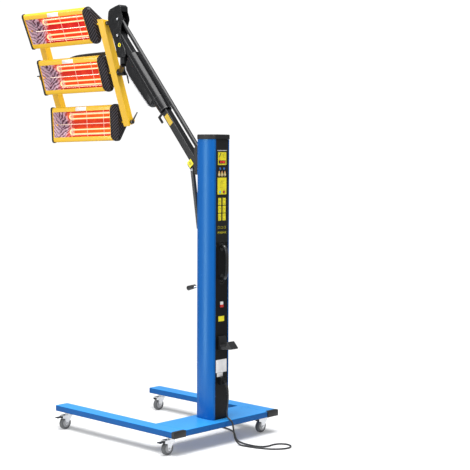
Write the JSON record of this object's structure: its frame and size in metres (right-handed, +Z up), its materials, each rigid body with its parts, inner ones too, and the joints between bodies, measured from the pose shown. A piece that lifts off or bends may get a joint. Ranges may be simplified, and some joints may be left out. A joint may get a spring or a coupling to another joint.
{
  "type": "infrared paint curing lamp",
  "caption": "Wheeled stand with a tall column and control panel; a lifting arm carries a tilting ladder frame of long infrared heater heads.",
  "frame": {"origin": "on the floor, at the middle of the box round the lamp without its cord", "axes": "+Z up; the control panel faces -Y and the arm leans out along +Y; X runs across the base"},
  "size_m": [0.758, 1.7799, 2.1469],
  "materials": {
    "blue_paint": "glossy blue paint",
    "zinc": "zinc plated",
    "grey_rubber": "grey tread",
    "black_plastic": "black moulded plastic",
    "blue_plastic": "blue push button",
    "yellow_plastic": "yellow push button",
    "green_plastic": "green push button",
    "red_plastic": "red switch cap",
    "black_paint": "satin black paint",
    "steel": "bright steel",
    "yellow_paint": "glossy golden yellow paint",
    "lamp_quartz": "quartz tube with ruby coating",
    "cord_grey": "grey flexible cord jacket"
  },
  "bodies": {
    "base": {"left_leg": "blue_paint", "right_leg": "blue_paint", "crossbar": "blue_paint", "column": "blue_paint", "column_cap": "black_plastic", "control_panel": "black_plastic", "lower_panel": "black_plastic", "grab_handle": "black_plastic", "cord_hook": "black_plastic", "pivot_bracket": "black_paint", "strut_foot": "black_paint", "strut_rod": "steel", "cord_lead": "cord_grey", "cord_coil": "cord_grey", "mains_plug": "black_plastic"},
    "front_left_fork_body": {"front_left_fork": "zinc"},
    "front_left_wheel_body": {"front_left_wheel": "grey_rubber"},
    "front_left_pedal_body": {"front_left_brake_pedal": "black_plastic"},
    "front_right_fork_body": {"front_right_fork": "zinc"},
    "front_right_wheel_body": {"front_right_wheel": "grey_rubber"},
    "rear_left_fork_body": {"rear_left_fork": "zinc"},
    "rear_left_wheel_body": {"rear_left_wheel": "grey_rubber"},
    "rear_left_pedal_body": {"rear_left_brake_pedal": "black_plastic"},
    "rear_right_fork_body": {"rear_right_fork": "zinc"},
    "rear_right_wheel_body": {"rear_right_wheel": "grey_rubber"},
    "plus_button_body": {"plus_button": "blue_plastic"},
    "minus_button_body": {"minus_button": "blue_plastic"},
    "mode_button_left_body": {"mode_button_left": "yellow_plastic"},
    "mode_button_middle_body": {"mode_button_middle": "yellow_plastic"},
    "mode_button_right_body": {"mode_button_right": "yellow_plastic"},
    "start_button_body": {"start_button": "green_plastic"},
    "stop_button_body": {"stop_button": "red_plastic"},
    "rocker_body": {"rocker_switch": "red_plastic"},
    "lever_body": {"back_lever": "steel"},
    "arm": {"main_arm": "black_paint", "arm_cover": "black_plastic"},
    "link": {"link_rod": "black_paint"},
    "strut_tube": {"strut_cylinder": "black_paint"},
    "casting": {"head_casting": "black_paint"},
    "head_arm_body": {"head_arm": "black_paint"},
    "tilt_clamp_body": {"tilt_clamp": "black_plastic"},
    "ladder": {"near_bar": "yellow_paint", "far_bar": "yellow_paint", "top_cross_tube": "yellow_paint", "bottom_cross_tube": "yellow_paint", "bow_handle": "black_plastic"},
    "top_clamp_body": {"top_clamp": "black_plastic"},
    "bottom_clamp_body": {"bottom_clamp": "black_plastic"},
    "top_cassette": {"top_housing": "yellow_paint", "top_near_cap": "black_plastic", "top_far_cap": "black_plastic", "top_lamps": "lamp_quartz"},
    "middle_cassette": {"middle_housing": "yellow_paint", "middle_near_cap": "black_plastic", "middle_far_cap": "black_plastic", "middle_lamps": "lamp_quartz"},
    "bottom_cassette": {"bottom_housing": "yellow_paint", "bottom_near_cap": "black_plastic", "bottom_far_cap": "black_plastic", "bottom_lamps": "lamp_quartz"}
  },
  "joints": [
    {"name": "front_left_swivel", "type": "hinge", "parent": "base", "child": "front_left_fork_body", "pos_m": [-0.2995, -0.67581, 0], "axis": [0, 0, 1], "continuous": true},
    {"name": "front_left_roll", "type": "hinge", "parent": "front_left_fork_body", "child": "front_left_wheel_body", "pos_m": [-0.3245, -0.67581, 0.0315], "axis": [0, 1, 0], "continuous": true},
    {"name": "front_left_brake", "type": "hinge", "parent": "front_left_fork_body", "child": "front_left_pedal_body", "pos_m": [-0.345, -0.67581, 0.0645], "axis": [0, -1, 0], "range_deg": [0, 12]},
    {"name": "front_right_swivel", "type": "hinge", "parent": "base", "child": "front_right_fork_body", "pos_m": [0.3415, -0.67581, 0], "axis": [0, 0, 1], "continuous": true},
    {"name": "front_right_roll", "type": "hinge", "parent": "front_right_fork_body", "child": "front_right_wheel_body", "pos_m": [0.3165, -0.67581, 0.0315], "axis": [0, 1, 0], "continuous": true},
    {"name": "rear_left_swivel", "type": "hinge", "parent": "base", "child": "rear_left_fork_body", "pos_m": [-0.2995, 0.07419, 0], "axis": [0, 0, 1], "continuous": true},
    {"name": "rear_left_roll", "type": "hinge", "parent": "rear_left_fork_body", "child": "rear_left_wheel_body", "pos_m": [-0.3245, 0.07419, 0.0315], "axis": [0, 1, 0], "continuous": true},
    {"name": "rear_left_brake", "type": "hinge", "parent": "rear_left_fork_body", "child": "rear_left_pedal_body", "pos_m": [-0.345, 0.07419, 0.0645], "axis": [0, -1, 0], "range_deg": [0, 12]},
    {"name": "rear_right_swivel", "type": "hinge", "parent": "base", "child": "rear_right_fork_body", "pos_m": [0.3415, 0.07419, 0], "axis": [0, 0, 1], "continuous": true},
    {"name": "rear_right_roll", "type": "hinge", "parent": "rear_right_fork_body", "child": "rear_right_wheel_body", "pos_m": [0.3165, 0.07419, 0.0315], "axis": [0, 1, 0], "continuous": true},
    {"name": "plus_button_press", "type": "slide", "parent": "base", "child": "plus_button_body", "axis": [0, 1, 0], "range_m": [0, 0.0015], "stiffness_N_per_m": 300, "springref_m": -0.003},
    {"name": "minus_button_press", "type": "slide", "parent": "base", "child": "minus_button_body", "axis": [0, 1, 0], "range_m": [0, 0.0015], "stiffness_N_per_m": 300, "springref_m": -0.003},
    {"name": "mode_button_left_press", "type": "slide", "parent": "base", "child": "mode_button_left_body", "axis": [0, 1, 0], "range_m": [0, 0.0015], "stiffness_N_per_m": 300, "springref_m": -0.003},
    {"name": "mode_button_middle_press", "type": "slide", "parent": "base", "child": "mode_button_middle_body", "axis": [0, 1, 0], "range_m": [0, 0.0015], "stiffness_N_per_m": 300, "springref_m": -0.003},
    {"name": "mode_button_right_press", "type": "slide", "parent": "base", "child": "mode_button_right_body", "axis": [0, 1, 0], "range_m": [0, 0.0015], "stiffness_N_per_m": 300, "springref_m": -0.003},
    {"name": "start_button_press", "type": "slide", "parent": "base", "child": "start_button_body", "axis": [0, 1, 0], "range_m": [0, 0.0015], "stiffness_N_per_m": 300, "springref_m": -0.003},
    {"name": "stop_button_press", "type": "slide", "parent": "base", "child": "stop_button_body", "axis": [0, 1, 0], "range_m": [0, 0.0015], "stiffness_N_per_m": 300, "springref_m": -0.003},
    {"name": "rocker_throw", "type": "hinge", "parent": "base", "child": "rocker_body", "pos_m": [0.021, -0.68581, 0.67], "axis": [1, 0, 0], "range_deg": [0, 12]},
    {"name": "back_lever_turn", "type": "hinge", "parent": "base", "child": "lever_body", "pos_m": [0.021, -0.56851, 0.751], "axis": [0, 1, 0], "range_deg": [-45, 45]},
    {"name": "arm_lift", "type": "hinge", "parent": "base", "child": "arm", "pos_m": [0.021, -0.54181, 1.316], "axis": [1, 0, 0], "range_deg": [-55, 6]},
    {"name": "link_swing", "type": "hinge", "parent": "base", "child": "link", "pos_m": [0.021, -0.54181, 1.399], "axis": [1, 0, 0], "range_deg": [-55, 6]},
    {"name": "strut_extend", "type": "slide", "parent": "base", "child": "strut_tube", "axis": [0, 0.1572, 0.9876], "range_m": [-0.056, 0.0063]},
    {"name": "casting_level", "type": "hinge", "parent": "arm", "child": "casting", "pos_m": [0.021, 0.03413, 1.98795], "axis": [1, 0, 0], "range_deg": [-6, 55]},
    {"name": "head_swivel", "type": "hinge", "parent": "casting", "child": "head_arm_body", "pos_m": [0.021, 0.01313, 1.87566], "axis": [0, 0, 1], "range_deg": [-60, 60]},
    {"name": "tilt_clamp_turn", "type": "hinge", "parent": "head_arm_body", "child": "tilt_clamp_body", "pos_m": [0.11244, 0.10826, 1.81346], "axis": [-0.1391, 0.99, -0.0227], "range_deg": [-40, 40]},
    {"name": "head_tilt", "type": "hinge", "parent": "head_arm_body", "child": "ladder", "pos_m": [0.106, 0.1541, 1.81241], "axis": [-0.1391, 0.99, -0.0227], "range_deg": [-75, 75]},
    {"name": "top_clamp_turn", "type": "hinge", "parent": "ladder", "child": "top_clamp_body", "pos_m": [0.01704, 0.14696, 2.0598], "axis": [-0.1391, 0.99, -0.0227], "range_deg": [-45, 45]},
    {"name": "bottom_clamp_turn", "type": "hinge", "parent": "ladder", "child": "bottom_clamp_body", "pos_m": [0.1986, 0.16091, 1.55515], "axis": [-0.1391, 0.99, -0.0227], "range_deg": [-45, 45]},
    {"name": "top_cassette_tilt", "type": "hinge", "parent": "ladder", "child": "top_cassette", "pos_m": [0.017, 0.14726, 2.05979], "axis": [-0.1391, 0.99, -0.0227], "range_deg": [-30, 30]},
    {"name": "middle_cassette_tilt", "type": "hinge", "parent": "ladder", "child": "middle_cassette", "pos_m": [0.106, 0.1541, 1.81241], "axis": [-0.1391, 0.99, -0.0227], "range_deg": [-30, 30]},
    {"name": "bottom_cassette_tilt", "type": "hinge", "parent": "ladder", "child": "bottom_cassette", "pos_m": [0.19856, 0.16121, 1.55514], "axis": [-0.1391, 0.99, -0.0227], "range_deg": [-30, 30]}
  ],
  "couplings": [
    {"joint": "link_swing", "follows": "arm_lift", "ratio": 1},
    {"joint": "casting_level", "follows": "arm_lift", "ratio": -1},
    {"joint": "strut_extend", "follows": "arm_lift", "m_per_rad": 0.0581}
  ]
}
